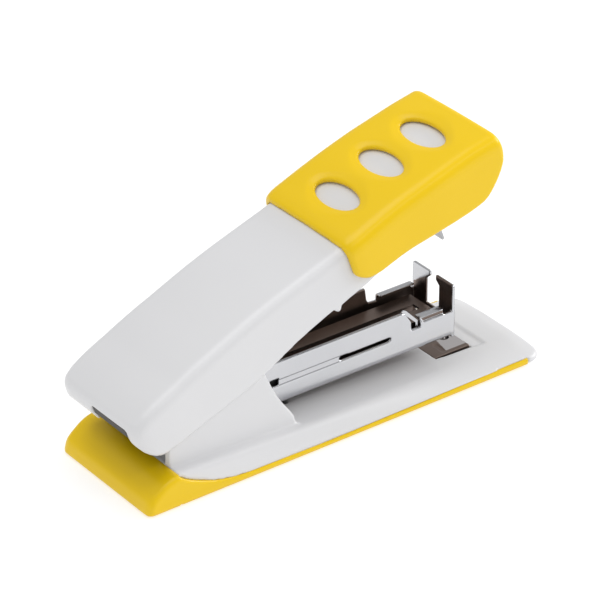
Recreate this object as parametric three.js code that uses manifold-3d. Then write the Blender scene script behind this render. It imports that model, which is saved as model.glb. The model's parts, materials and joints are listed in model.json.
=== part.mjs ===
// Half-strip desk stapler, opened for loading. Millimetres, +Z up, +X to the front.
// The origin is on the ground under the middle of the overall length.
// Three bodies turn on one hinge pin: the base, the magazine and the handle.

import * as THREE from 'three';
import { mergeVertices } from 'three/addons/utils/BufferGeometryUtils.js';
import Module from 'manifold-3d';

const wasm = await Module();
wasm.setup();

// ---------------------------------------------------------------- driving dimensions
const GAP = 0.3; // clearance left between neighbouring pieces

const PIVOT = { x: -49, z: 20 }; // centre of the hinge pin
const PIN_R = 1.5;
const PIN_HOLE_R = PIN_R + GAP;

const BASE = { rear: -56.5, front: 58.3, halfWidth: 17.6, midHalfWidth: 17.5, frontHalfWidth: 17.4 };
const CORNER = { rear: 1.6, front: 3.8 }; // rounds of the base's corners in plan
const LIP_TOP = 1.9; // top of the thin yellow edge along the base's sides
const TRAY_FRONT = 53.6; // the white cover wraps down over the front end
const DECK = { rearX: -49, rearZ: 8.2, slope: -0.0439 }; // white deck falls towards the front
const EAR = { outer: 13.1, thick: 1.7, capR: 3.5 };

const MAG = { half: 7.65, sheet: 0.8, floor: 9, wallTop: 20.6, front: 38.4, rear: -45, lugR: 4 };
const LOW_WALL_TOP = 16.1; // wall height beside the driver
const RAIL = { half: 5.4, sheet: 0.6, bottom: 10.1, top: 15.6, rear: -39, front: 35.3 };
const SLOT = { half: 1.2, rear: -36, front: 33 }; // slot in the rail top for the pusher's fin
const ROD = { r: 0.9, z: 12.9 };
const PUSHER = { rear: -20, front: -8, half: 6.25, finFront: -12 };

const OPEN_ANGLE = THREE.MathUtils.degToRad(20); // handle slope when open
const SHELL_WALL = 1.5;
const GRIP_REAR = 55.7; // rear edge of the grip, along the handle
const SHELL_ROUND = 2.3; // round along the white shell's top edges
const GRIP_ROUND = 3; // round along the grip's top edges
const CROWN = 0.3; // rise of the handle's top between its edges
const FRAME = { half: 9, sheet: 0.8 };
const BLADE = { front: 85.3, thick: 0.6, half: 6, tip: -14.4 };

// Along-handle distance, half width and shoulder height of the white shell, also under the grip.
const SHELL_STATIONS = [
  [-8.5, 12.7, 2.5], [-8, 13.8, 4.2], [-7.2, 14.6, 5.4], [-5, 15.1, 6.3], [-2, 15.4, 7.0],
  [2, 15.3, 7.6], [6, 15.3, 8.1], [10, 15.25, 8.6], [15, 15.2, 9.1], [20, 15.1, 9.4], [25, 15.05, 9.8],
  [30, 15, 10.1], [37, 15, 10.3], [45, 14.95, 10.3], [58, 14.9, 10.1], [72.5, 14.9, 10.25], [84, 14.8, 10.05],
  [87.5, 14.7, 9.8], [95.7, 14.4, 9.0], [98.4, 13, 8.0],
];
const GRIP_STATIONS = [
  [55.7, 16.45, 11], [57, 16.6, 11.4], [58.5, 16.65, 11.65], [62, 16.65, 11.85], [65.2, 16.55, 12.02],
  [72, 16.45, 12.2], [77.4, 16.4, 12.07], [83.2, 16.4, 11.85], [88, 16.25, 11.53], [93.3, 16.1, 11.15],
  [97.2, 16.05, 10.8], [100, 16, 10.5], [101.9, 15.5, 9.8], [102.95, 14.4, 8.4],
];
const OVALS = { along: [66, 79.3, 91.9], halfAlong: 3.4, halfAcross: 7.2 }; // holes in the grip's top

const COLOR = {
  white: 0xdcdcdf,
  yellow: 0xf0ca10,
  chrome: 0xc8ccd2,
  steel: 0x9a9da1,
  rubber: 0x3c3c3c,
  blackPlastic: 0x2a2a2c,
};

// ---------------------------------------------------------------- materials
function material(color, roughness, metalness) {
  return new THREE.MeshStandardMaterial({ color, roughness, metalness });
}

const whitePlastic = material(COLOR.white, 0.35, 0);
const yellowPlastic = material(COLOR.yellow, 0.4, 0);
const chrome = material(COLOR.chrome, 0.15, 1);
const steel = material(COLOR.steel, 0.35, 1);
const rubber = material(COLOR.rubber, 0.9, 0);
const blackPlastic = material(COLOR.blackPlastic, 0.5, 0);

// ---------------------------------------------------------------- solids
function solidOf(geometry) {
  const bare = geometry.clone();
  bare.deleteAttribute('normal');
  bare.deleteAttribute('uv');
  const merged = mergeVertices(bare, 1e-4);
  const mesh = new wasm.Mesh({
    numProp: 3,
    vertProperties: new Float32Array(merged.attributes.position.array),
    triVerts: new Uint32Array(merged.index.array),
  });
  return new wasm.Manifold(mesh);
}

function geometryOf(solid) {
  const mesh = solid.getMesh();
  const geometry = new THREE.BufferGeometry();
  geometry.setAttribute('position', new THREE.BufferAttribute(mesh.vertProperties, 3));
  geometry.setIndex(new THREE.BufferAttribute(mesh.triVerts, 1));
  geometry.computeVertexNormals();
  return geometry;
}

function joined(...geometries) {
  return geometryOf(geometries.map(solidOf).reduce((sum, next) => sum.add(next)));
}

function cut(body, ...tools) {
  return geometryOf(tools.map(solidOf).reduce((rest, tool) => rest.subtract(tool), solidOf(body)));
}

function common(a, b) {
  return geometryOf(solidOf(a).intersect(solidOf(b)));
}

function box(x0, x1, y0, y1, z0, z1) {
  const geometry = new THREE.BoxGeometry(x1 - x0, y1 - y0, z1 - z0);
  return geometry.translate((x0 + x1) / 2, (y0 + y1) / 2, (z0 + z1) / 2);
}

function shapeOf(points) {
  return new THREE.Shape(points.map(([a, b]) => new THREE.Vector2(a, b)));
}

// An outline in plan, raised from z0 to z1.
function planPlate(points, z0, z1) {
  const options = { depth: z1 - z0, bevelEnabled: false };
  return new THREE.ExtrudeGeometry(shapeOf(points), options).translate(0, 0, z0);
}

// An outline seen from the side (x, z), running from y0 to y1.
function sidePlate(points, y0, y1) {
  const options = { depth: y1 - y0, bevelEnabled: false };
  return new THREE.ExtrudeGeometry(shapeOf(points), options).rotateX(Math.PI / 2).translate(0, y1, 0);
}

// An outline seen from the front (y, z), running from x0 to x1.
function crossPlate(points, x0, x1) {
  const options = { depth: x1 - x0, bevelEnabled: false };
  const geometry = new THREE.ExtrudeGeometry(shapeOf(points), options);
  const turn = new THREE.Matrix4().makeBasis(
    new THREE.Vector3(0, 1, 0),
    new THREE.Vector3(0, 0, 1),
    new THREE.Vector3(1, 0, 0),
  );
  return geometry.applyMatrix4(turn).translate(x0, 0, 0);
}

function rodY(x, z, r, y0, y1, sides = 24) {
  return new THREE.CylinderGeometry(r, r, y1 - y0, sides).translate(x, (y0 + y1) / 2, z);
}

function rodX(y, z, r, x0, x1, sides = 16) {
  const rod = new THREE.CylinderGeometry(r, r, x1 - x0, sides).rotateZ(-Math.PI / 2);
  return rod.translate((x0 + x1) / 2, y, z);
}

function rodZ(x, y, r, z0, z1, sides = 20) {
  const rod = new THREE.CylinderGeometry(r, r, z1 - z0, sides).rotateX(Math.PI / 2);
  return rod.translate(x, y, (z0 + z1) / 2);
}

// Points of an arc, both ends included. Angles are in degrees.
function arc(cx, cy, r, from, to, steps = 6) {
  const points = [];
  for (let i = 0; i <= steps; i += 1) {
    const a = THREE.MathUtils.degToRad(from + ((to - from) * i) / steps);
    points.push([cx + r * Math.cos(a), cy + r * Math.sin(a)]);
  }
  return points;
}

// A closed body through rings of (y, z) points at rising x. Rings run anticlockwise seen from +X.
function loft(rings) {
  const count = rings[0].points.length;
  const position = rings.flatMap(({ x, points }) => points.flatMap(([y, z]) => [x, y, z]));
  const index = [];
  for (let r = 0; r < rings.length - 1; r += 1) {
    for (let i = 0; i < count; i += 1) {
      const a = r * count + i;
      const b = r * count + ((i + 1) % count);
      index.push(a, b, b + count, a, b + count, a + count);
    }
  }
  const capOf = (ring) => ring.points.map(([y, z]) => new THREE.Vector2(y, z));
  const last = (rings.length - 1) * count;
  for (const [a, b, c] of THREE.ShapeUtils.triangulateShape(capOf(rings[0]), [])) index.push(a, c, b);
  for (const [a, b, c] of THREE.ShapeUtils.triangulateShape(capOf(rings.at(-1)), [])) {
    index.push(last + a, last + b, last + c);
  }
  const geometry = new THREE.BufferGeometry();
  geometry.setAttribute('position', new THREE.Float32BufferAttribute(position, 3));
  geometry.setIndex(index);
  return geometry;
}

// Cross-section of the handle: flat sides, rounded shoulders and a crowned top.
function handleRing(half, top, bottom, round) {
  const crown = (y) => top + CROWN * (1 - (y / half) ** 2);
  const rightShoulder = arc(half - round, top - round, round, 0, 90, 4);
  const flat = half - round;
  const across = [0.6, 0.2, -0.2, -0.6].map((k) => [k * flat, crown(k * flat)]);
  const leftShoulder = arc(round - half, top - round, round, 90, 180, 4);
  return [[half, bottom], ...rightShoulder, ...across, ...leftShoulder, [-half, bottom]];
}

// Handle-shaped bar through stations of (along, half width, shoulder height), pulled in by inset.
function handleBar(stations, inset, bottom, edgeRound = SHELL_ROUND) {
  const round = Math.max(edgeRound - inset, 1);
  const front = stations.at(-1)[0];
  return loft(stations.map(([x, half, top]) => ({
    x: x === front ? x - inset : x,
    points: handleRing(half - inset, top - inset, bottom, Math.min(round, top - inset - bottom - 1)),
  })));
}

// Moves a geometry from the handle's own axes to its open place on the hinge.
function onHandle(geometry) {
  return geometry.rotateY(-OPEN_ANGLE).translate(PIVOT.x, 0, PIVOT.z);
}

const stapler = new THREE.Group();

function addPiece(name, geometry, pieceMaterial) {
  const mesh = new THREE.Mesh(geometry, pieceMaterial);
  mesh.name = name;
  stapler.add(mesh);
}

// ---------------------------------------------------------------- base
const deckZ = (x) => DECK.rearZ + DECK.slope * (x - DECK.rearX);

// Plan outline of the base, pulled in by inset, with rounded corners.
function baseOutline(inset) {
  const rearR = Math.max(CORNER.rear - inset, 0.5);
  const frontR = Math.max(CORNER.front - inset, 0.8);
  const rear = BASE.rear + inset;
  const front = BASE.front - inset;
  const rearHalf = BASE.halfWidth - inset;
  const frontHalf = BASE.frontHalfWidth - inset;
  return [
    ...arc(rear + rearR, rearR - rearHalf, rearR, 180, 270, 4),
    [20, inset - BASE.midHalfWidth],
    ...arc(front - frontR, frontR - frontHalf, frontR, 270, 360, 6),
    ...arc(front - frontR, frontHalf - frontR, frontR, 0, 90, 6),
    [20, BASE.midHalfWidth - inset],
    ...arc(rear + rearR, rearHalf - rearR, rearR, 90, 180, 4),
  ];
}

// Height of the seam between the yellow tray and the white cover, from the rear to the front.
const SEAM = [
  [-47.5, 7.9], [-46, 6.7], [-44.6, 5.9], [-41.7, 4.6], [-37.6, 3.2], [-33.4, 2.4], [-28, LIP_TOP],
  [0, 1.7], [20, 1.7], [40, LIP_TOP], [TRAY_FRONT, 2],
];

const TRAY_BOTTOM = 0.4;
const TRAY_FLOOR = 1.4;

function makeTray() {
  const blockProfile = [
    [-58, TRAY_BOTTOM], [-56.4, 2.2], [-55.4, 4], [-54.4, 5.1], [-52.4, 6.7], [-51.1, 7.4],
    [-50, 7.8], ...SEAM, [TRAY_FRONT, TRAY_BOTTOM],
  ];
  const outer = common(planPlate(baseOutline(0), TRAY_BOTTOM, 12), sidePlate(blockProfile, -20, 20));
  const well = planPlate(baseOutline(1.6), TRAY_FLOOR, 12);
  const rearWall = box(-60, -47.2, -20, 20, TRAY_FLOOR - 1, 12);
  const rearHollow = box(-53, -46, -12, 12, TRAY_FLOOR, 6);
  const padRecess = planPlate(baseOutline(3.5 - GAP), TRAY_BOTTOM - 1, TRAY_BOTTOM + 0.4);
  const screwHoles = BASE_SCREWS.map((x) => joined(rodZ(x, 0, 1.6, -1, 3), rodZ(x, 0, 3, -1, 1.1)));
  return cut(outer, cut(well, rearWall), rearHollow, padRecess, ...screwHoles);
}

const BASE_SCREWS = [-38, 22];

function makePad() {
  const pad = planPlate(baseOutline(3.5), 0, TRAY_BOTTOM + 0.1);
  const holes = BASE_SCREWS.map((x) => rodZ(x, 0, 3.2, -1, 3));
  return cut(pad, ...holes);
}

// White cover: flanks rise from the tray's edge, steep at the rear and gentler towards the front.
function coverRing(x, half, run, inset, bottom) {
  const deck = deckZ(x) - inset;
  const side = half - inset;
  const foot = 2.2 - inset * 0.5;
  const crease = [side - 0.85 * run, foot + 0.85 * (deck - foot)];
  const right = [[side, bottom], [side, foot], crease, [side - run - 0.8, deck]];
  return [...right, ...right.toReversed().map(([y, z]) => [-y, z])];
}

// Stations of (x, half width, width of the flank).
function coverBody(inset, bottom) {
  const rear = -48.6 + inset;
  const stations = [[rear, 17.5, 1.3], [-14, 17.5, 1.8], [20, 17.5, 3.4], [BASE.front - inset, 17.4, 5]];
  return loft(stations.map(([x, half, run]) => ({ x, points: coverRing(x, half, run, inset, bottom) })));
}

const EAR_OUTLINE = [
  [-46.8, 5], [-46.8, 8.4], [-48.5, 8.6], [-48.5, 14], [-52.5, 20],
  ...arc(PIVOT.x, PIVOT.z, EAR.capR, 180, 90, 6),
  [-22, 23.5], [-20.8, 22.8], [-19, 18.8], [-17.6, 16], [-16.1, 13.6], [-13.7, 10.4], [-12.6, 8.6],
  [-12, 6.4], [-12, 4.5],
];
const ANVIL_POCKET = { rear: 33.1, front: 44.4, half: 7.2 };
const COVER_BOTTOM = 0.6; // lowest edge of the cover's front end

function makeCover() {
  const frontEdge = [[TRAY_FRONT + GAP, 2 + GAP], [TRAY_FRONT + GAP, COVER_BOTTOM], [60, COVER_BOTTOM]];
  const seamLine = SEAM.slice(1, -1).map(([x, z]) => [x, z + GAP]);
  const aboveSeam = sidePlate([[-47.2, 40], [-47.2, 7.9], ...seamLine, ...frontEdge, [60, 40]], -20, 20);
  const outer = common(coverBody(0, 0.3), aboveSeam);
  const rounded = common(outer, planPlate(baseOutline(0.05), 0, 40));
  const ears = [-1, 1].map((side) => {
    const y = side * (EAR.outer - EAR.thick / 2);
    return sidePlate(EAR_OUTLINE, y - EAR.thick / 2, y + EAR.thick / 2);
  });
  const hollow = common(coverBody(1.5, -1), planPlate(baseOutline(1.9), -2, 40));
  const pocket = box(ANVIL_POCKET.rear, ANVIL_POCKET.front, -ANVIL_POCKET.half, ANVIL_POCKET.half, -1, 9);
  const pinHole = rodY(PIVOT.x, PIVOT.z, PIN_HOLE_R, -20, 20);
  const springSlot = box(-33, -8, -4.3, 4.3, 4, 12);
  const bosses = BASE_SCREWS.map((x) => rodZ(x, 0, 2.8, PLATE.top + GAP, deckZ(x) - 0.5));
  const bores = BASE_SCREWS.map((x) => rodZ(x, 0, 1.5, 0, 4.5));
  const shell = joined(cut(rounded, hollow), ...ears, ...bosses);
  return cut(shell, pocket, pinHole, springSlot, ...bores);
}

const PLATE = { rear: -44, front: 46, bottom: 1.7, top: 2.3, half: 9.5 };

function makeBasePlate() {
  const plate = box(PLATE.rear, PLATE.front, -PLATE.half, PLATE.half, PLATE.bottom, PLATE.top);
  const holes = BASE_SCREWS.map((x) => rodZ(x, 0, 1.6, 0, 4));
  return cut(plate, ...holes, rodZ(38.7, 0, 1.6, 0, 4));
}

// The anvil: a block in the deck's pocket, with two grooves that turn the staple legs in.
function makeAnvil() {
  const { rear, front, half } = ANVIL_POCKET;
  const top = 4.3;
  const plate = box(rear + GAP, front - GAP, GAP - half, half - GAP, PLATE.top + 0.2, top);
  const grooves = [-1, 1].map((side) => box(36.4, 38.2, side * 4 - 2.2, side * 4 + 2.2, top - 0.6, top + 1));
  return cut(plate, ...grooves, rodZ(38.7 + 2.6, 0, 1.4, 0, 9));
}

function makeBaseScrew(x) {
  return joined(rodZ(x, 0, 2.7, 0.5, 0.95), rodZ(x, 0, 1.2, 0.8, 4.2));
}

// Leaf spring that holds the magazine's front up: a flat foot and a rising tongue.
function makeLiftSpring() {
  const leaf = 0.4;
  const foot = PLATE.top + 0.2;
  return sidePlate([
    [-31, foot], [-25, foot], [-20, foot + 1.4], [-11, 8.1], [-9.5, 8.5], [-9.2, 8.3],
    [-9.2, 8.3 + leaf * 0.7], [-9.7, 8.5 + leaf * 0.8], [-11.2, 8.1 + leaf], [-20.2, foot + 1.4 + leaf],
    [-25.2, foot + leaf], [-31, foot + leaf],
  ], -3.2, 3.2);
}

function makeHingePin() {
  const head = rodY(PIVOT.x, PIVOT.z, 0.01 + PIN_R, -13, 13);
  return cut(head, cut(rodY(PIVOT.x, PIVOT.z, 3, 10.2, 10.8), rodY(PIVOT.x, PIVOT.z, 1.1, 10, 11)));
}

function makePinClip() {
  const ring = cut(rodY(PIVOT.x, PIVOT.z, 2.7, 10.3, 10.7), rodY(PIVOT.x, PIVOT.z, 1.3, 10, 11));
  return cut(ring, box(PIVOT.x - 0.9, PIVOT.x + 0.9, 10, 11, PIVOT.z, PIVOT.z + 5));
}

// ---------------------------------------------------------------- magazine
const NOTCH = { rear: 25.4, front: 28.3, bottom: 15.2 };

function magazineOutline() {
  return [
    [MAG.rear, MAG.floor], [-52.6, 16.8],
    ...arc(PIVOT.x, PIVOT.z, MAG.lugR, 200, 60, 8),
    [-43.5, MAG.wallTop], [23, MAG.wallTop], [23.8, 20.2], [25.3, 17.6],
    [NOTCH.rear, NOTCH.bottom], [NOTCH.front, NOTCH.bottom], [NOTCH.front, LOW_WALL_TOP],
    [MAG.front, LOW_WALL_TOP], [MAG.front, MAG.floor],
  ];
}

// The wall beside the driver is rolled inwards along its top.
function rolledLip(side) {
  const points = [
    [MAG.half, 15.6], [MAG.half, LOW_WALL_TOP], [MAG.half - 0.35, 16.9], [MAG.half - 1.1, 17.4],
    [5.2, 17.5], [5.2, 16.9], [MAG.half - 1.2, 16.7], [MAG.half - 0.8, 16.1], [MAG.half - 0.8, 15.6],
  ].map(([y, z]) => [side * y, z]);
  return crossPlate(side > 0 ? points.toReversed() : points, NOTCH.front, 35.3);
}

// Front plate of one side, folded in from the wall. A slot for the driver stays between the two.
function frontFlange(side) {
  const points = [
    [MAG.half, MAG.floor], [MAG.half, 22.6], [MAG.half - 0.4, 23], [1.1, 23], [1.1, 21.8],
    [2.4, 20.6], [2.4, 14], [0, 14], [0, 11.6], [MAG.half - 1, 11.6], [MAG.half - 1, MAG.floor],
  ].map(([y, z]) => [side * y, z]);
  return crossPlate(side > 0 ? points.toReversed() : points, MAG.front - 0.7, MAG.front);
}

function makeMagazine() {
  const inner = MAG.half - MAG.sheet;
  const body = sidePlate(magazineOutline(), -MAG.half, MAG.half);
  const bay = box(-60, 60, -inner, inner, MAG.floor + MAG.sheet, 40);
  const staplePath = box(36.2, 60, -inner, inner, 0, 40);
  const lugGap = box(-60, -44, -inner, inner, 0, 40);
  const channel = cut(body, bay, staplePath, lugGap);
  const lips = [-1, 1].map(rolledLip);
  const flanges = [-1, 1].map(frontFlange);
  const pinHole = rodY(PIVOT.x, PIVOT.z, PIN_HOLE_R, -20, 20);
  const window = sidePlate([[4.3, 14.4], ...arc(19.1, 15, 0.6, 270, 450, 6), [4.3, 15.6]], -20, 0);
  const peepHole = box(-15.6, -13.1, -20, 0, 14.5, 16.3);
  const rivetHoles = RAIL_RIVETS.map(([x, y]) => rodZ(x, y, 1, 0, 12));
  return cut(joined(channel, ...lips, ...flanges), pinHole, window, peepHole, ...rivetHoles);
}

// Tongue bent over the notch in the near wall.
function makeTongue() {
  const outline = [
    [23.6, 20.9], [23, 20.5], [23.1, 19.9], [23.8, 19.8], [27.3, 16.4], [27.4, 14.8], [27.9, 14.8],
    [28, 16.7], [24.4, 20.5],
  ];
  return sidePlate(outline, -6.8, -6.5);
}

const RAIL_RIVETS = [[-30, -3.3], [-30, 3.3], [24, -3.3], [24, 3.3]];

function makeRail() {
  const { half, sheet, bottom, top, rear, front } = RAIL;
  const outer = box(rear, front, -half, half, bottom, top);
  const inner = box(rear - 1, front + 1, sheet - half, half - sheet, bottom + sheet, top - sheet);
  const fold = box(rear - 1, front + 1, 3.4 - half, half - 3.4, bottom - 1, top - sheet);
  const slot = box(SLOT.rear, SLOT.front, -SLOT.half, SLOT.half, bottom - 1, top + 1);
  const rivetHoles = RAIL_RIVETS.map(([x, y]) => rodZ(x, y, 1, 0, 12));
  return cut(outer, inner, fold, slot, ...rivetHoles);
}

function makeRailRivet([x, y]) {
  const headBottom = RAIL.bottom + RAIL.sheet + 0.15;
  const shank = rodZ(x, y, 0.8, MAG.floor + 0.1, headBottom + 0.2, 12);
  return joined(shank, rodZ(x, y, 1.2, headBottom, headBottom + 0.4, 12));
}

function makeGuideRod() {
  return rodX(0, ROD.z, ROD.r, RAIL.rear + 3, RAIL.front - 2.4);
}

// End stop: carries the rod's rear end and closes the back of the rail.
function makeRearStop() {
  const wall = box(-42.5, -40.5, -6.4, 6.4, MAG.floor + MAG.sheet + GAP, 18.5);
  const nose = box(-41, -38, -2.4, 2.4, 11.4, 14.4);
  return cut(joined(wall, nose), rodX(0, ROD.z, ROD.r + GAP, -37, -36));
}

function springGeometry(radius, wire, x0, x1, turns) {
  const points = [];
  const perTurn = 10;
  for (let i = 0; i <= turns * perTurn; i += 1) {
    const a = (i / perTurn) * Math.PI * 2;
    const x = x0 + ((x1 - x0) * i) / (turns * perTurn);
    points.push(new THREE.Vector3(x, radius * Math.cos(a), ROD.z + radius * Math.sin(a)));
  }
  const path = new THREE.CatmullRomCurve3(points);
  const section = shapeOf(arc(0, 0, wire, 0, 300, 5));
  return new THREE.ExtrudeGeometry(section, { steps: turns * perTurn, extrudePath: path });
}

function makePusherSpring() {
  return springGeometry(1.55, 0.25, -35.6, PUSHER.rear - 0.6, 14);
}

// Torsion spring round the hinge pin: its coil, and a leg along the magazine's floor.
function makeTorsionSpring() {
  const points = [];
  const coilR = 2.5;
  const turns = 5;
  const perTurn = 12;
  for (let i = 0; i <= turns * perTurn; i += 1) {
    const a = -Math.PI / 2 - (i / perTurn) * Math.PI * 2;
    const y = -4.5 + (8 * i) / (turns * perTurn);
    points.push(new THREE.Vector3(PIVOT.x + coilR * Math.cos(a), y, PIVOT.z + coilR * Math.sin(a)));
  }
  points.push(new THREE.Vector3(PIVOT.x - 1.6, 3.6, PIVOT.z - 2.8));
  points.push(new THREE.Vector3(-44.5, 3.6, 14));
  const path = new THREE.CatmullRomCurve3(points);
  const section = shapeOf(arc(0, 0, 0.45, 0, 300, 5));
  return new THREE.ExtrudeGeometry(section, { steps: 90, extrudePath: path });
}

// ---------------------------------------------------------------- pusher
function makePusher() {
  const { rear, front, half, finFront } = PUSHER;
  const legTop = RAIL.top + GAP;
  const saddle = box(rear, front, -half, half, 11, legTop + 0.6);
  const overRail = box(rear - 1, front + 1, -RAIL.half - GAP, RAIL.half + GAP, 0, legTop);
  const fin = box(rear, finFront, GAP - SLOT.half, SLOT.half - GAP, 11.4, legTop + 0.5);
  const fins = joined(cut(saddle, overRail), fin);
  const eye = rodX(0, ROD.z, 2, rear, front);
  const bore = rodX(0, ROD.z, ROD.r + GAP, rear - 1, front + 1);
  return cut(joined(fins, eye), bore);
}

// ---------------------------------------------------------------- handle
// Everything below is drawn in the handle's own axes: X along it from the pin, Z up from it.
const SHELL_EDGE = [
  [-9, 20], [-8.5, 2.4], [-8.2, 0.95], [-7.4, -0.8], [-6.9, -2.3], [-6.1, -3.4],
  [-5.1, -4.4], [-4, -5.2], [-2.4, -5.6], [24, -5.6], [27, -5.2], [30, -4.7], [33.9, -4],
  [37, -3.5], [41, -3.1], [48.4, -2.6], [48.9, -3.7], [49.5, -4.1], [50.1, -3.7], [50.6, -2.9],
  [56, -2.55], [61, -2.2], [69, -1.9], [72, -1.7], [77, -1.9], [84, -2.2], [93, -2],
  [96, -0.6], [97.4, 1.8], [98.4, 4.6], [99, 20],
];

const GRIP_EDGE = [
  [GRIP_REAR, 20], [GRIP_REAR, 3.2], [56.1, 2.2], [56.8, 1.3], [57.8, 0.4], [59, -0.3], [62, -0.8],
  [68, -0.95], [72, -1.3], [76, -1.9], [80, -2.45], [84.7, -3.15], [88.8, -3.7], [91.6, -3.85],
  [93.3, -3.8], [94.8, -3.3], [96.2, -2.5], [98.3, -0.9], [100.1, 0.8], [101.6, 2.8],
  [102.5, 4.9], [103.4, 8], [103.4, 20],
];

function ovalCutter(along) {
  const points = [];
  const sides = 32;
  for (let i = 0; i < sides; i += 1) {
    const a = (i / sides) * Math.PI * 2;
    points.push([along + OVALS.halfAlong * Math.cos(a), OVALS.halfAcross * Math.sin(a)]);
  }
  return planPlate(points, 5, 15);
}

function makeShell() {
  const outer = common(handleBar(SHELL_STATIONS, 0, -7), sidePlate(SHELL_EDGE, -20, 20));
  const cavity = handleBar(SHELL_STATIONS.slice(2, -1), SHELL_WALL, -9);
  const underSlot = box(-10, -6, -11.8, 11.8, -9, 3.4);
  const earRoom = box(-6.9, 2, -EAR.outer - GAP, EAR.outer + GAP, -9, EAR.capR + 0.1);
  const shell = cut(outer, cavity, underSlot, earRoom);
  const bosses = FRAME_SCREWS.map(({ x, webTop }) => rodZ(x, 0, 3, webTop + GAP, 9.5));
  const bores = FRAME_SCREWS.map(({ x, webTop }) => rodZ(x, 0, 1.5, webTop, webTop + 2));
  return cut(joined(shell, ...bosses), ...bores);
}

function makeGrip() {
  const outer = common(handleBar(GRIP_STATIONS, 0, -7, GRIP_ROUND), sidePlate(GRIP_EDGE, -20, 20));
  const shellRoom = handleBar(SHELL_STATIONS.slice(12), -GAP, -9);
  return cut(outer, shellRoom, ...OVALS.along.map(ovalCutter));
}

// Steel channel under the shell: two cheeks round the pin, joined by a web along the top.
const CHEEK = [
  ...arc(0, 0, 4, 90, 270, 8), [10, -4.2], [30, -2.6], [50, -1.4], [84.3, -1], [84.3, 6.9], [50, 6.6],
  [8, 4.4],
];

function makeHandleFrame() {
  const outer = sidePlate(CHEEK, -FRAME.half, FRAME.half);
  const underWeb = sidePlate([[-5, 20], [-5, -9], [90, -9], [90, 6.1], [50, 5.8], [9, 3.7], [9, 20]],
    FRAME.sheet - FRAME.half, FRAME.half - FRAME.sheet);
  const pinHole = rodY(0, 0, PIN_HOLE_R, -20, 20);
  const screwHoles = FRAME_SCREWS.map(({ x }) => rodZ(x, 0, 1.6, 0, 12));
  const rivetHoles = BLADE_RIVETS.map((y) => rodZ(79, y, 1.3, 0, 12));
  return cut(outer, underWeb, pinHole, ...screwHoles, ...rivetHoles);
}

const FRAME_SCREWS = [{ x: 30, webTop: 5.55 }, { x: 68, webTop: 6.75 }];

// Blade that drives the staple, hung from an angle at the frame's front.
function makeBlade() {
  const { front, thick, half, tip } = BLADE;
  const blade = box(front - thick, front, -half, half, tip, 5.3);
  const foot = box(75, front, -half, half, 4.6, 5.3);
  const rivetHoles = BLADE_RIVETS.map((y) => rodZ(79, y, 1.3, 0, 12));
  return cut(joined(blade, foot), ...rivetHoles);
}

const BLADE_RIVETS = [-3.5, 3.5];

function makeFrameScrew({ x, webTop }) {
  return joined(rodZ(x, 0, 2.6, webTop - 2.3, webTop - 1.1), rodZ(x, 0, 1.2, webTop - 1.5, webTop + 1.7));
}

function makeBladeRivet(y) {
  return joined(rodZ(79, y, 1, 4, 7.1), rodZ(79, y, 1.7, 3.7, 4.3));
}

// ---------------------------------------------------------------- assembly
addPiece('base_tray', makeTray(), yellowPlastic);
addPiece('base_pad', makePad(), rubber);
addPiece('base_cover', makeCover(), whitePlastic);
addPiece('base_plate', makeBasePlate(), steel);
addPiece('anvil', makeAnvil(), chrome);
BASE_SCREWS.forEach((x, i) => addPiece(`base_screw_${i + 1}`, makeBaseScrew(x), steel));
addPiece('lift_spring', makeLiftSpring(), steel);
addPiece('hinge_pin', makeHingePin(), steel);
addPiece('pin_clip', makePinClip(), steel);

addPiece('magazine_channel', makeMagazine(), chrome);
addPiece('magazine_tongue', makeTongue(), chrome);
addPiece('staple_rail', makeRail(), chrome);
addPiece('guide_rod', makeGuideRod(), steel);
addPiece('rear_stop', makeRearStop(), blackPlastic);
addPiece('pusher_spring', makePusherSpring(), steel);
addPiece('torsion_spring', makeTorsionSpring(), steel);
addPiece('pusher', makePusher(), blackPlastic);

addPiece('handle_shell', onHandle(makeShell()), whitePlastic);
addPiece('grip_cover', onHandle(makeGrip()), yellowPlastic);
addPiece('handle_frame', onHandle(makeHandleFrame()), steel);
addPiece('driver_blade', onHandle(makeBlade()), steel);
BLADE_RIVETS.forEach((y, i) => addPiece(`blade_rivet_${i + 1}`, onHandle(makeBladeRivet(y)), steel));
FRAME_SCREWS.forEach((screw, i) => addPiece(`frame_screw_${i + 1}`, onHandle(makeFrameScrew(screw)), steel));
RAIL_RIVETS.forEach((place, i) => addPiece(`rail_rivet_${i + 1}`, makeRailRivet(place), steel));

export default stapler;
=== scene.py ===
"""Looks for the stapler: detailed shells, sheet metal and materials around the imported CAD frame."""

import json
import math

import bpy
import numpy as np
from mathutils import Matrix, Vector


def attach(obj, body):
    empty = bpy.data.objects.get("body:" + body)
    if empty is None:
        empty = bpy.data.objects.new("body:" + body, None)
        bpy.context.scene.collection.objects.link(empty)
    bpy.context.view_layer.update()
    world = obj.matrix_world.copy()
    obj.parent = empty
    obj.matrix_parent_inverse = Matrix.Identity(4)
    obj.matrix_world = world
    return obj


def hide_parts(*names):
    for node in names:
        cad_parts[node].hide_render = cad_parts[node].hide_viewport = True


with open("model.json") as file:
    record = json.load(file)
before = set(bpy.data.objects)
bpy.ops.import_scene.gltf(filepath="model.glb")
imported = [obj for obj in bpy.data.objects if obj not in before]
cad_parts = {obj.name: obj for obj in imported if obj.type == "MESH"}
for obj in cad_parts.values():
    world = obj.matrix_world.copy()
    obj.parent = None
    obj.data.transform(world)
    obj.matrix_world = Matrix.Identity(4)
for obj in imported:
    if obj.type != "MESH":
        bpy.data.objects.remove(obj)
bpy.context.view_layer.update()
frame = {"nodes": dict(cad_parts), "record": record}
MM = 0.001

# ---------------------------------------------------------------- shared dimensions, millimetres
PIVOT = np.array([-49.0, 0.0, 20.0])
PIN_HOLE = 1.8
OPEN_ANGLE = math.radians(20)


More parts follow.
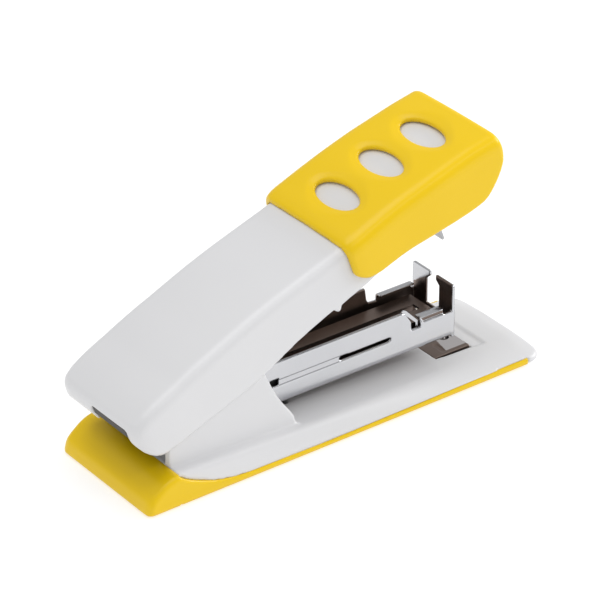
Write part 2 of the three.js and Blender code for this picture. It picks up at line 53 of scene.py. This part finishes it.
# ---------------------------------------------------------------- distance fields
# A solid is a function of x, y, z arrays that is negative inside, in millimetres.
def smooth_max(a, b, k):
    """The larger of two fields, with a round of about k where they meet."""
    h = np.clip(0.5 + 0.5 * (a - b) / k, 0, 1)
    return b + (a - b) * h + k * h * (1 - h)


def smooth_min(a, b, k):
    return -smooth_max(-a, -b, k)


def box_field(x, y, z, low, high):
    dx = np.maximum(low[0] - x, x - high[0])
    dy = np.maximum(low[1] - y, y - high[1])
    dz = np.maximum(low[2] - z, z - high[2])
    return np.maximum(np.maximum(dx, dy), dz)


def outline_field(u, v, points):
    """Signed distance to a closed outline in the plane."""
    pts = np.asarray(points, float)
    nxt = np.roll(pts, -1, axis=0)
    best = np.full(np.broadcast(u, v).shape, 1e18)
    inside = np.zeros(best.shape, bool)
    for (ax, ay), (bx, by) in zip(pts, nxt):
        ex, ey = bx - ax, by - ay
        t = np.clip(((u - ax) * ex + (v - ay) * ey) / (ex * ex + ey * ey), 0, 1)
        dx, dy = u - ax - t * ex, v - ay - t * ey
        best = np.minimum(best, dx * dx + dy * dy)
        if ay != by:
            crosses = ((ay > v) != (by > v)) & (u < ax + (v - ay) * ex / ey)
            inside ^= crosses
    return np.where(inside, -1, 1) * np.sqrt(best)


CORNERS = np.array([(i, j, k) for i in (0, 1) for j in (0, 1) for k in (0, 1)])
EDGES = [(a, b) for a in range(8) for b in range(a + 1, 8) if np.abs(CORNERS[a] - CORNERS[b]).sum() == 1]


def net_surface(field, low, high, step):
    """Vertices and quads of the field's zero surface, by naive surface nets on a grid."""
    low, high = np.asarray(low, float), np.asarray(high, float)
    counts = np.ceil((high - low) / step).astype(int) + 1
    axes = [low[i] + step * np.arange(counts[i]) for i in range(3)]
    x, y, z = axes[0][:, None, None], axes[1][None, :, None], axes[2][None, None, :]
    value = np.broadcast_to(field(x, y, z), counts).astype(np.float64)
    inside = value < 0
    cells = tuple(counts - 1)

    def corner(a, array):
        i, j, k = CORNERS[a]
        return array[i : i + cells[0], j : j + cells[1], k : k + cells[2]]

    total = sum(corner(a, inside).astype(np.int8) for a in range(8))
    active = np.argwhere((total > 0) & (total < 8))
    number = np.full(cells, -1, np.int64)
    number[tuple(active.T)] = np.arange(len(active))
    at_corner = [value[tuple((active + CORNERS[a]).T)] for a in range(8)]
    centre = np.zeros((len(active), 3))
    crossings = np.zeros(len(active))
    for a, b in EDGES:
        fa, fb = at_corner[a], at_corner[b]
        hit = (fa < 0) != (fb < 0)
        t = np.where(hit, fa / np.where(hit, fa - fb, 1), 0)
        place = CORNERS[a] + t[:, None] * (CORNERS[b] - CORNERS[a])
        centre += np.where(hit[:, None], place, 0)
        crossings += hit
    points = low + (active + centre / crossings[:, None]) * step
    quads = []
    for axis in range(3):
        b, c = (axis + 1) % 3, (axis + 2) % 3
        first = np.take(inside, range(counts[axis] - 1), axis=axis)
        second = np.take(inside, range(1, counts[axis]), axis=axis)
        edges = np.argwhere(first != second)
        edges = edges[(edges[:, b] > 0) & (edges[:, c] > 0)]
        edges = edges[(edges[:, b] < cells[b]) & (edges[:, c] < cells[c])]
        ring = []
        for db, dc in ((0, 0), (1, 0), (1, 1), (0, 1)):
            cell = edges.copy()
            cell[:, b] -= db
            cell[:, c] -= dc
            ring.append(number[tuple(cell.T)])
        quad = np.stack(ring, axis=1)
        outward = first[tuple(edges.T)]
        quad[~outward] = quad[~outward][:, ::-1]
        quads.append(quad)
    return settle(field, points, step), np.concatenate(quads)


def settle(field, points, step):
    """Moves surface points onto the exact zero of the field, by at most half a step."""
    start = points.copy()
    small = 1e-3
    for _ in range(3):
        x, y, z = points.T
        value = field(x, y, z)
        slope = np.stack([
            field(x + small, y, z) - field(x - small, y, z),
            field(x, y + small, z) - field(x, y - small, z),
            field(x, y, z + small) - field(x, y, z - small),
        ], axis=1) / (2 * small)
        size = np.maximum((slope**2).sum(1), 0.1)
        points = points - (value / size)[:, None] * slope
        points = start + np.clip(points - start, -step / 2, step / 2)
    return points


def smooth_curve(points):
    """A smooth function through (place, value) points, level outside them."""
    xs, ys = np.array(points, float).T
    rise = np.diff(ys) / np.diff(xs)
    slopes = np.concatenate([rise[:1], (rise[1:] + rise[:-1]) / 2, rise[-1:]])

    def at(x):
        i = np.clip(np.searchsorted(xs, x) - 1, 0, len(xs) - 2)
        width = xs[i + 1] - xs[i]
        t = np.clip((x - xs[i]) / width, 0, 1)
        start = ys[i] + slopes[i] * width * t * (1 - t) ** 2
        end = -slopes[i + 1] * width * t**2 * (1 - t)
        blend = (ys[i + 1] - ys[i]) * (3 * t**2 - 2 * t**3)
        return start + end + blend

    return at


def under(height, at, level):
    """Field of what lies under a curve level = height(at), scaled to be a distance."""
    tilt = (height(at + 0.05) - height(at - 0.05)) / 0.1
    return (level - height(at)) / np.sqrt(1 + tilt**2)


def soft_step(x, width):
    """Zero for x well below 0, x for x well above 0, and a smooth bend between."""
    return width * np.logaddexp(0, x / width)


def pin_hole(x, z):
    """Field of the hole round the hinge pin's axis, positive inside it."""
    return PIN_HOLE - np.sqrt((x - PIVOT[0]) ** 2 + (z - PIVOT[2]) ** 2)


def arc_points(cx, cy, r, start, end, steps=8):
    turns = np.radians(np.linspace(start, end, steps + 1))
    return [(cx + r * math.cos(a), cy + r * math.sin(a)) for a in turns]


# ---------------------------------------------------------------- pieces from fields
def add_mesh(name, points, faces, body, surfaces, replaces=()):
    mesh = bpy.data.meshes.new(name)
    mesh.from_pydata([tuple(p) for p in points * MM], [], [tuple(f) for f in faces])
    mesh.validate()
    obj = bpy.data.objects.new(name, mesh)
    bpy.context.scene.collection.objects.link(obj)
    for surface in surfaces:
        mesh.materials.append(surface)
    mesh.shade_smooth()
    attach(obj, body)
    if replaces:
        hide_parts(*replaces)
    return obj


def on_handle(points):
    """From the handle's own axes, along it and up from the pin, to the open place."""
    u, y, w = points.T
    x = PIVOT[0] + u * math.cos(OPEN_ANGLE) - w * math.sin(OPEN_ANGLE)
    z = PIVOT[2] + u * math.sin(OPEN_ANGLE) + w * math.cos(OPEN_ANGLE)
    return np.stack([x, y, z], axis=1)


# ---------------------------------------------------------------- handle shapes
SHELL_WALL = 1.5
GRIP_GAP = 0.1
CROWN, CROWN_HALF = 0.3, 15
SHELL_ROUND, GRIP_ROUND = 2.7, 3.5

shell_half = smooth_curve([
    (-8.5, 12.6), (-8, 13.7), (-7.2, 14.5), (-5.5, 15.05), (-2, 15.3), (10, 15.2), (24, 15), (58, 14.85),
    (80, 14.8), (86, 14.6), (95.5, 14.3), (98.4, 12.9),
])
shell_top = smooth_curve([
    (-8.5, 2.1), (-8.1, 3.8), (-7.2, 5), (-5, 6), (-2, 6.75), (2, 7.35), (6, 7.8), (10, 8.35), (15, 8.85),
    (20, 9.2), (25, 9.6), (30, 9.9), (37, 10.1), (45, 10), (58, 9.8), (66, 10), (79, 10), (86, 9.7),
    (92, 9.25), (95.5, 8.75), (98.4, 7.9),
])
grip_half = smooth_curve([
    (56, 16.4), (58, 16.6), (62, 16.6), (70, 16.4), (82, 16.35), (92, 16.05), (103, 16),
])
grip_top = smooth_curve([
    (55, 10.4), (56.5, 11.1), (58, 11.5), (62, 11.75), (66, 11.95), (72, 12.1), (78, 11.95), (82, 11.8),
    (86, 11.55), (90, 11.3), (94, 11.0), (97.2, 10.6), (100, 10.2), (103, 9.8),
])

SHELL_EDGE = [
    (-9, 25), (-8.55, 2.2), (-8.2, 0.95), (-7.6, -0.8), (-6.9, -2.3), (-6.1, -3.4), (-5.1, -4.4),
    (-4, -5.15), (-2.4, -5.55), (0, -5.6), (24, -5.6), (27, -5.2), (30, -4.7), (33.9, -4), (37, -3.5),
    (41, -3.1), (48.2, -2.6), (48.7, -3.5), (49.3, -4.1), (49.9, -3.9), (50.5, -2.9), (56, -2.55),
    (61, -2.2), (66, -1.95), (69, -1.9), (72, -1.65), (77, -1.9), (84, -2.2), (93, -2), (96, -0.6),
    (97.4, 1.8), (98.2, 4.6), (98.2, 25),
]
GRIP_EDGE = [
    (55.7, 25), (55.7, 3.2), (56.1, 2.2), (56.8, 1.3), (57.8, 0.4), (59, -0.3), (62, -0.8), (68, -0.95),
    (72, -1.3), (76, -1.9), (80, -2.45), (84.7, -3.15), (88.8, -3.7), (91.6, -3.85), (93.3, -3.8),
    (94.8, -3.3), (96.2, -2.5), (98.3, -0.9), (100, 0.8), (101.5, 2.8), (102.4, 4.9), (102.8, 6.5),
    (102.9, 8.5), (102.9, 25),
]
OVALS_AT = (66.0, 79.3, 91.9)
OVAL_HALF = (3.4, 7.2)
DISH_DEPTH, DISH_REACH = 0.45, 2.2
GRIP_NOSE = 102.7
SHELL_NOSE, SHELL_NOSE_ROUND = 98.3, 1.5
SHELL_HOLLOW = (-7.0, 94)


def crown(y):
    return CROWN * (1 - (y / CROWN_HALF) ** 2)


def shell_skin(u, y, w):
    """Top, sides and shoulders of the white shell, without its lower edge."""
    side = np.abs(y) - shell_half(u)
    return smooth_max(side, under(shell_top, u, w - crown(y)), SHELL_ROUND)


def oval_distance(u, y, centre):
    """Rough distance outside an oval on the grip's top."""
    a, b = OVAL_HALF
    reach = np.sqrt(((u - centre) / a) ** 2 + (y / b) ** 2)
    return (reach - 1) * a * (1 + (b / a - 1) * (np.abs(y) / b) ** 2)


def grip_skin(u, y, w):
    side = np.abs(y) - grip_half(u)
    dish = sum(DISH_DEPTH * np.exp(-((oval_distance(u, y, c) / DISH_REACH) ** 2)) for c in OVALS_AT)
    top = under(grip_top, u, w - crown(y)) + dish
    nose = u - GRIP_NOSE
    return smooth_max(smooth_max(side, top, GRIP_ROUND), nose, 2.0)


def closed_skin(u, y, w):
    """The shell's skin, closed off by its front end under the grip."""
    return smooth_max(shell_skin(u, y, w), u - SHELL_NOSE, SHELL_NOSE_ROUND)


def shell_field(u, y, w):
    skin = closed_skin(u, y, w)
    outer = smooth_max(skin, outline_field(u, w, SHELL_EDGE), 0.5)
    hollow = np.maximum(np.maximum(skin + SHELL_WALL, SHELL_HOLLOW[0] - u), u - SHELL_HOLLOW[1])
    ear_room = box_field(u, y, w, (-6.9, -13.4, -9), (2, 13.4, 3.6))
    across = np.maximum(-y - 11.6, y - 2.4)
    slot = smooth_max(smooth_max(across, w - 3.8, 1.2), u + 6, 0.5)
    return smooth_max(smooth_max(outer, -np.minimum(hollow, ear_room), 0.4), -slot, 0.6)


def grip_field(u, y, w):
    edge = outline_field(u, w, GRIP_EDGE)
    skin = grip_skin(u, y, w)
    outer = smooth_max(skin, edge, 1.1)
    room = closed_skin(u, y, w) - GRIP_GAP
    wall = smooth_max(outer, -room, 0.3)
    for centre in OVALS_AT:
        wall = smooth_max(wall, -oval_distance(u, y, centre), 1.0)
    return wall


# ---------------------------------------------------------------- base shapes
DECK_REAR, DECK_Z, DECK_SLOPE = -49.0, 8.2, -0.0439
BASE_REAR, BASE_FRONT = -56.45, 58.25
EAR_OUTER, EAR_THICK, EAR_CAP = 13.1, 1.7, 3.5

TRAY_FRONT = 53.6
COVER_BOTTOM, COVER_WALL = 0.6, 1.4
TRAY_BOTTOM, TRAY_WALL, TRAY_FLOOR = 0.4, 1.6, 1.4
WELL_REAR = -47.2
SEAM_GAP = -0.05

base_half = smooth_curve([(-56, 17.55), (-14, 17.5), (20, 17.45), (58, 17.35)])
SEAM = [
    (-47.5, 7.7), (-46, 6.6), (-44.6, 5.85), (-41.7, 4.6), (-37.6, 3.2), (-33.4, 2.4), (-28, 1.9),
    (0, 1.7), (20, 1.7), (40, 1.9), (TRAY_FRONT, 2.0),
]
BELOW_SEAM = [(-60, -5), (-60, 30), (-47.6, 30), *SEAM, (TRAY_FRONT, -5)]
EAR_OUTLINE = [
    (-48.5, 3), (-48.5, 14), (-51.2, 17.2), *arc_points(PIVOT[0], PIVOT[2], EAR_CAP, 200, 90, 10),
    (-22, 23.5), (-20.8, 22.8), (-19, 18.8), (-17.6, 16), (-16.1, 13.6), (-13.7, 10.4), (-12.6, 8.6),
    (-12, 3),
]


def deck_z(x):
    return DECK_Z + DECK_SLOPE * (x - DECK_REAR)


def base_plan(x, y, inset=0.0):
    """Distance outside the base's plan: straight sides, tight rear corners and rounder front ones."""
    side = np.abs(y) - base_half(x)
    front = smooth_max(side, x - BASE_FRONT, 4.4)
    return smooth_max(front, BASE_REAR - x, 1.8) + inset


flank_width = smooth_curve([(-50, 1.2), (-30, 1.5), (-14, 1.8), (20, 3.2), (40, 4.2), (58, 5)])
LIP_TOP = 1.9


def cover_top(x, y, z):
    """Field of what lies under the deck, its flanks along both sides and its front slope."""
    deck = deck_z(x) - 0.2 * soft_step(x - 54.4, 0.6)
    rise, run = deck - LIP_TOP, flank_width(x)
    flank = ((np.abs(y) - base_half(x)) * rise + (z - LIP_TOP) * run) / np.hypot(rise, run)
    return smooth_max(z - deck, flank, 1.5)


def cover_field(x, y, z):
    top = cover_top(x, y, z)
    ear_side = np.abs(np.abs(y) - EAR_OUTER + EAR_THICK / 2) - EAR_THICK / 2
    ears = smooth_max(outline_field(x, z, EAR_OUTLINE), ear_side, 0.5)
    body = smooth_min(top, ears, 1.3)
    plan = base_plan(x, y, 0.02)
    body = smooth_max(body, plan, 0.8)
    body = smooth_max(body, COVER_BOTTOM - z, 0.6)
    hollow = np.maximum(np.maximum(top + COVER_WALL, plan + COVER_WALL), WELL_REAR - x)
    body = smooth_max(body, -hollow, 0.3)
    rear = -48.55 - x
    seam = outline_field(x, z, BELOW_SEAM) - SEAM_GAP
    body = smooth_max(smooth_max(body, -seam, 0.15), rear, 0.5)
    pocket = box_field(x, y, z, (33.1, -7.4, -5), (44.4, 7.2, 12))
    trough = box_field(x, y, z, (44.6, -7.2, deck_z(45) - 0.35), (47.4, 7.2, 12))
    spring_slot = box_field(x, y, z, (-33, -4.3, 4), (-8, 4.3, 12))
    body = smooth_max(smooth_max(body, -trough, 1.2), -pocket, 0.3)
    return np.maximum(np.maximum(body, pin_hole(x, z)), -spring_slot)


BLOCK_FRONT = -47.45
block_top = smooth_curve([
    (-57.6, 0), (-56.2, 2.4), (-55.4, 3.7), (-54.4, 4.75), (-53.3, 5.65), (-52.2, 6.5), (-51, 7.25),
    (-49.8, 7.8), (-48, 8.2), (-47.4, 8.2), (-46, 8.2),
])


def tray_field(x, y, z):
    plan = base_plan(x, y)
    seam = outline_field(x, z, BELOW_SEAM)
    block = smooth_max(under(block_top, x, z), x - BLOCK_FRONT, 0.3)
    height = np.minimum(np.maximum(seam, BLOCK_FRONT - x), block)
    outer = smooth_max(plan, height, 0.25)
    outer = smooth_max(outer, smooth_max(plan, under(block_top, x, z), 1.6), 0.1)
    outer = smooth_max(outer, TRAY_BOTTOM - z, 0.5)
    well = np.maximum(base_plan(x, y, TRAY_WALL), np.maximum(TRAY_FLOOR - z, WELL_REAR - x))
    return smooth_max(outer, -well, 0.35)


# ---------------------------------------------------------------- magazine shapes
MAG_HALF, SHEET, MAG_FLOOR, MAG_TOP, MAG_FRONT = 7.65, 0.8, 9.0, 20.6, 38.4
FAR_LIP_RISE = 0.9
WALL_REAR = [(-45, 9), (-52.6, 16.8), *arc_points(PIVOT[0], PIVOT[2], 4, 200, 60, 12), (-43.5, MAG_TOP)]
NEAR_WALL = [
    *WALL_REAR, (22.6, MAG_TOP), (23.4, 20.3), (24, 19.6), (25.4, 17.4), (25.4, 15.2), (28.3, 15.2),
    (28.3, 16.1), (MAG_FRONT, 16.1), (MAG_FRONT, 9),
]
FAR_WALL = [
    *WALL_REAR, (22.9, MAG_TOP), (23.4, 17.4), (24, 16.4), (26.3, 16.2), (26.3, 16.1 + FAR_LIP_RISE),
    (36.5, 16.1 + FAR_LIP_RISE), (37, 16.1), (MAG_FRONT, 16.1), (MAG_FRONT, 9),
]
FLANGE_OUTLINE = [
    (MAG_HALF, 9), (MAG_HALF, 22.6), (MAG_HALF - 0.4, 23), (1.1, 23), (1.1, 21.8), (2.4, 20.6), (2.4, 14),
    (-1, 14), (-1, 11.6), (6.6, 11.6), (6.6, 9),
]
LIP_OUTLINE = [
    (MAG_HALF, 15.4), (MAG_HALF, 16.1), (MAG_HALF - 0.25, 16.8), (MAG_HALF - 0.7, 17.3), (6.3, 17.5),
    (5.2, 17.5), (5.2, 16.9), (6.1, 16.9), (6.6, 16.7), (6.85, 16.1), (6.85, 15.4),
]


def channel_field(x, y, z):
    outer = smooth_max(np.abs(y) - MAG_HALF, MAG_FLOOR - z, 1.9)
    inner = smooth_max(np.abs(y) - MAG_HALF + SHEET, MAG_FLOOR + SHEET - z, 1.0)
    wall = np.maximum(outer, -inner)
    side_outline = np.where(y > 0, outline_field(x, z, FAR_WALL), outline_field(x, z, NEAR_WALL))
    walls = smooth_max(wall, side_outline, 0.22)
    past_floor = np.minimum(36.2 - x, x + 44)
    path = np.maximum(np.abs(y) - MAG_HALF + SHEET, past_floor)
    walls = np.maximum(walls, -path)
    window = np.maximum(smooth_max(np.abs(z - 15) - 0.6, np.abs(x - 11.95) - 7.7, 1.2), y)
    peep = np.maximum(np.maximum(np.abs(x + 14.35) - 1.25, np.abs(z - 15.4) - 0.9), y)
    groove = smooth_max(np.abs(z - 15.1) - 0.7, np.abs(x + 3.5) - 10.5, 0.6)
    dent = np.maximum(groove, MAG_HALF - 0.18 - np.abs(y))
    walls = smooth_max(walls, -window, 0.2)
    walls = smooth_max(np.maximum(walls, pin_hole(x, z)), -peep, 0.2)
    walls = smooth_max(walls, -dent, 0.15)
    near_lip = np.maximum(outline_field(-y, z, LIP_OUTLINE), np.abs(x - 31.8) - 3.5)
    far_lip = np.maximum(outline_field(y, z - FAR_LIP_RISE, LIP_OUTLINE), np.abs(x - 31.3) - 5)
    lips = np.minimum(near_lip, far_lip)
    fold = box_field(x, y, z, (28.9, -8, 16.25), (36.2, -7.1, 16.85))
    flange = smooth_max(outline_field(np.abs(y), z, FLANGE_OUTLINE), np.abs(x - 38.05) - 0.35, 0.2)
    return np.maximum(smooth_min(np.minimum(walls, lips), flange, 0.3), -fold)


def make_field_pieces():
    """Every piece whose surface comes from a distance field."""
    white, yellow = white_plastic(), yellow_plastic()
    points, faces = net_surface(shell_field, (-10, -16.5, -7), (102, 16.5, 12), 0.55)
    add_mesh("white_shell", on_handle(points), faces, "handle", [white], ["handle_shell"])
    points, faces = net_surface(grip_field, (55, -17.6, -5), (103.5, 17.6, 13.5), 0.4)
    add_mesh("yellow_grip", on_handle(points), faces, "handle", [yellow], ["grip_cover"])
    points, faces = net_surface(cover_field, (-54, -17.5, 0.5), (58.5, 17.5, 25), 0.5)
    add_mesh("white_deck", points, faces, "base", [white], ["base_cover"])
    points, faces = net_surface(tray_field, (-57.5, -18, -0.5), (59, 18, 9), 0.45)
    add_mesh("yellow_tray", points, faces, "base", [yellow], ["base_tray"])
    points, faces = net_surface(channel_field, (-54, -8.5, 8), (39.5, 8.5, 25), 0.25)
    steel = [bright_steel(), painted_shade_steel()]
    channel = add_mesh("steel_channel", points, faces, "magazine", steel,
                       ["magazine_channel"])
    shade_inside(channel)
    add_anvil()
    add_rear_shade_piece()


def shade_inside(channel):
    """Paints shade: a darker steel inside and under the channel is painted shade for the dim reflections
    there, and a patch high on the far flange left bright is a painted highlight.
    """
    for face in channel.data.polygons:
        x, y, z = face.center / MM
        # painted shade inside the walls and under the floor; the lip tops keep the bright steel, and the
        # far flange's upper patch keeps it as a painted highlight
        painted_shade_walls = abs(y) < MAG_HALF - 0.45 and z > MAG_FLOOR + 0.4 and x < MAG_FRONT - 0.4
        on_lip = x > 26 and 16.2 < z < 18.6 and face.normal.z > 0.3
        far_flange_painted_highlight = x > 37.5 and y > 1 and z > 17.4 + 0.72 * (MAG_HALF - y)
        painted_shade_under = z < MAG_FLOOR + 0.2 and face.normal.z < -0.6
        face.material_index = int((painted_shade_walls or painted_shade_under) and not on_lip and not far_flange_painted_highlight)


def add_rear_shade_piece():
    """A dark piece that shows in the slot under the handle's rear edge: painted shade standing in for the
    deep shade inside the handle.
    """
    def field(u, y, w):
        return smooth_max(box_field(u, y, w, (-8.0, -11.2, 1.4), (-5.6, 2.2, 4.2)), w - 4.2, 0.4)
    points, faces = net_surface(field, (-9, -12.5, 0.5), (-5, 3.5, 5), 0.25)
    # painted shade: a dark plastic piece where the slot shows deep shade
    add_mesh("rear_shade_piece", on_handle(points), faces, "handle", [dark_plastic()])


def add_anvil():
    """The polished anvil, with two shallow staple grooves.

    A darker steel towards its rear and near edge is a painted reflection of the magazine's dark underside.
    """
    def field(x, y, z):
        plate = smooth_max(box_field(x, y, z, (33.4, -6.6, 2.6), (44.1, 6.9, 4.3)), z - 4.3, 0.3)
        groove = smooth_max(np.abs(x - 37.3) - 0.6, np.abs(np.abs(y) - 3.6) - 2, 0.8)
        groove = smooth_max(groove, 4.05 - z, 0.3)
        hole = 1.4 - np.sqrt((x - 41.3) ** 2 + y**2)
        return np.maximum(smooth_max(plate, -groove, 0.3), hole)
    points, faces = net_surface(field, (32.5, -7.5, 2), (45, 7.5, 5), 0.2)
    mirror = metal("anvil_look", (0.60, 0.57, 0.57), (0.66, 0.63, 0.63), 0.1, (0.2, 1, 1), 700, 0.08)
    surfaces = [mirror, painted_shade_steel()]
    anvil = add_mesh("polished_anvil", points, faces, "base", surfaces, ["anvil"])
    # painted reflection: faces towards the rear and near edge take the darker steel
    for face in anvil.data.polygons:
        x, y, _ = face.center / MM
        face.material_index = int(x < 39 + 0.2 * y or y < -5.4)


# ---------------------------------------------------------------- materials
def new_material(name):
    material = bpy.data.materials.new(name)
    material.use_nodes = True
    nodes = material.node_tree.nodes
    return material, nodes, material.node_tree.links, nodes["Principled BSDF"]


def object_noise(nodes, links, scale, detail=4.0, stretch=(1, 1, 1)):
    coords = nodes.new("ShaderNodeTexCoord")
    mapping = nodes.new("ShaderNodeMapping")
    mapping.inputs["Scale"].default_value = stretch
    noise = nodes.new("ShaderNodeTexNoise")
    noise.inputs["Scale"].default_value = scale
    noise.inputs["Detail"].default_value = detail
    links.new(coords.outputs["Object"], mapping.inputs["Vector"])
    links.new(mapping.outputs["Vector"], noise.inputs["Vector"])
    return noise


def vary(nodes, links, source, low, high, target):
    span = nodes.new("ShaderNodeMapRange")
    span.inputs["From Min"].default_value = 0.3
    span.inputs["From Max"].default_value = 0.7
    span.inputs["To Min"].default_value = low
    span.inputs["To Max"].default_value = high
    links.new(source.outputs["Fac"], span.inputs["Value"])
    links.new(span.outputs["Result"], target)


def tint(nodes, links, source, dark, light, target):
    mix = nodes.new("ShaderNodeMix")
    mix.data_type = "RGBA"
    mix.inputs["A"].default_value = (*dark, 1)
    mix.inputs["B"].default_value = (*light, 1)
    links.new(source.outputs["Fac"], mix.inputs["Factor"])
    links.new(mix.outputs["Result"], target)


def bump(nodes, links, source, strength, distance, shader):
    node = nodes.new("ShaderNodeBump")
    node.inputs["Strength"].default_value = strength
    node.inputs["Distance"].default_value = distance
    links.new(source.outputs["Fac"], node.inputs["Height"])
    links.new(node.outputs["Normal"], shader.inputs["Normal"])


def moulded(name, dark, light, roughness, grain, strength, gloss=0.4):
    """Moulded plastic: slow colour drift, fine grain and a slightly uneven gloss."""
    material, nodes, links, shader = new_material(name)
    drift = object_noise(nodes, links, 35, 2)
    fine = object_noise(nodes, links, grain, 3)
    tint(nodes, links, drift, dark, light, shader.inputs["Base Color"])
    vary(nodes, links, drift, roughness - 0.01, roughness + 0.015, shader.inputs["Roughness"])
    bump(nodes, links, fine, strength, 0.00004, shader)
    shader.inputs["IOR"].default_value = 1.49
    shader.inputs["Specular IOR Level"].default_value = gloss
    return material


def white_plastic():
    return moulded("white_plastic_look", (0.69, 0.69, 0.705), (0.72, 0.72, 0.73), 0.3, 2600, 0.25, 0.6)


def yellow_plastic():
    return moulded("yellow_plastic_look", (0.82, 0.545, 0.001), (0.86, 0.575, 0.001), 0.3, 3200, 0.35, 0.36)


def metal(name, dark, light, roughness, stretch, grain, strength):
    material, nodes, links, shader = new_material(name)
    drift = object_noise(nodes, links, 60, 3)
    streak = object_noise(nodes, links, grain, 3, stretch)
    tint(nodes, links, drift, dark, light, shader.inputs["Base Color"])
    vary(nodes, links, streak, roughness - 0.04, roughness + 0.05, shader.inputs["Roughness"])
    bump(nodes, links, streak, strength, 0.00003, shader)
    shader.inputs["Metallic"].default_value = 1.0
    return material


def bright_steel():
    dark, light = (0.53, 0.535, 0.56), (0.60, 0.605, 0.625)
    return metal("bright_steel_look", dark, light, 0.2, (0.15, 1, 1), 900, 0.12)


# painted shade: a dark brownish steel that stands in for shade and dim reflections inside and under the
# magazine, on the rail and in the anvil
def painted_shade_steel():
    dark, light = (0.16, 0.12, 0.10), (0.27, 0.215, 0.19)
    return metal("painted_shade_steel_look", dark, light, 0.36, (0.2, 1, 1), 700, 0.15)


def plain_steel():
    return metal("plain_steel_look", (0.36, 0.36, 0.37), (0.46, 0.46, 0.47), 0.34, (0.2, 1, 1), 800, 0.2)


def dark_plastic():
    return moulded("dark_plastic_look", (0.018, 0.018, 0.02), (0.03, 0.03, 0.032), 0.5, 2200, 0.3)


def pad_rubber():
    return moulded("pad_rubber_look", (0.02, 0.02, 0.02), (0.035, 0.035, 0.035), 0.8, 1500, 0.6)


CAD_LOOKS = {
    "plain_steel": plain_steel,
    "bright_steel": bright_steel,
    "black_plastic": dark_plastic,
    "pad_rubber": pad_rubber,
}


def dress_cad_nodes():
    """Gives every CAD node that stays the finish of its material slot, but the rail a darker steel of
    painted shade.
    """
    looks = {slot: make() for slot, make in CAD_LOOKS.items()}
    rail_painted_shade = painted_shade_steel()
    for subpart in frame["record"]["subparts"]:
        look = looks.get(subpart["material_slot"])
        if look is None:
            continue
        node = frame["nodes"][subpart["node"]]
        # painted shade: the rail takes the darker steel for the dim interior it sits in
        if subpart["node"] == "staple_rail":
            look = rail_painted_shade
        for index in range(len(node.material_slots)):
            node.material_slots[index].material = look


# ---------------------------------------------------------------- stage
def add_floor():
    mesh = bpy.data.meshes.new("floor")
    reach = 6.0
    corners = [(-reach, -reach, 0), (reach, -reach, 0), (reach, reach, 0), (-reach, reach, 0)]
    mesh.from_pydata(corners, [], [(0, 1, 2, 3)])
    floor = bpy.data.objects.new("floor", mesh)
    bpy.context.scene.collection.objects.link(floor)
    material, _, _, shader = new_material("floor_look")
    shader.inputs["Base Color"].default_value = (0.5, 0.5, 0.5, 1)
    shader.inputs["Roughness"].default_value = 0.9
    shader.inputs["Emission Color"].default_value = (1, 1, 1, 1)
    shader.inputs["Emission Strength"].default_value = 0.6
    mesh.materials.append(material)


def add_area(name, place, aim, size, watts):
    light = bpy.data.lights.new(name, "AREA")
    light.shape = "RECTANGLE"
    light.size, light.size_y = size
    light.energy = watts
    obj = bpy.data.objects.new(name, light)
    obj.location = place
    obj.rotation_mode = "QUATERNION"
    obj.rotation_quaternion = (Vector(aim) - Vector(place)).to_track_quat("-Z", "Y")
    bpy.context.scene.collection.objects.link(obj)


def add_lights():
    centre = (0, 0, 0.02)
    add_area("top_light", (-0.15, 0.1, 0.9), centre, (0.7, 0.7), 3.2)
    add_area("ridge_light", (0.05, -0.62, 0.75), centre, (0.9, 0.06), 0.9)
    add_area("front_light", (1.08, -0.26, 0.56), centre, (0.9, 0.5), 8.0)
    world = bpy.data.worlds.new("studio")
    world.use_nodes = True
    background = world.node_tree.nodes["Background"]
    background.inputs["Color"].default_value = (1, 1, 1, 1)
    background.inputs["Strength"].default_value = 0.56
    bpy.context.scene.world = world
    bpy.context.scene.view_settings.view_transform = "Standard"


def add_camera():
    """Seen from behind the near side, looking down along the handle."""
    azimuth, elevation, distance = math.radians(-36.805), math.radians(30.29), 0.8722
    target = Vector((0.028686, 0.040199, 0.0))
    back = Vector((
        math.sin(azimuth) * math.cos(elevation),
        -math.cos(azimuth) * math.cos(elevation),
        math.sin(elevation),
    ))
    data = bpy.data.cameras.new("camera")
    data.sensor_width = 36
    data.lens = 213
    data.clip_start = 0.01
    camera = bpy.data.objects.new("camera", data)
    camera.location = target + back * distance
    camera.rotation_mode = "QUATERNION"
    camera.rotation_quaternion = (-back).to_track_quat("-Z", "Y")
    bpy.context.scene.collection.objects.link(camera)
    bpy.context.scene.camera = camera


make_field_pieces()
dress_cad_nodes()
add_floor()
add_lights()
add_camera()
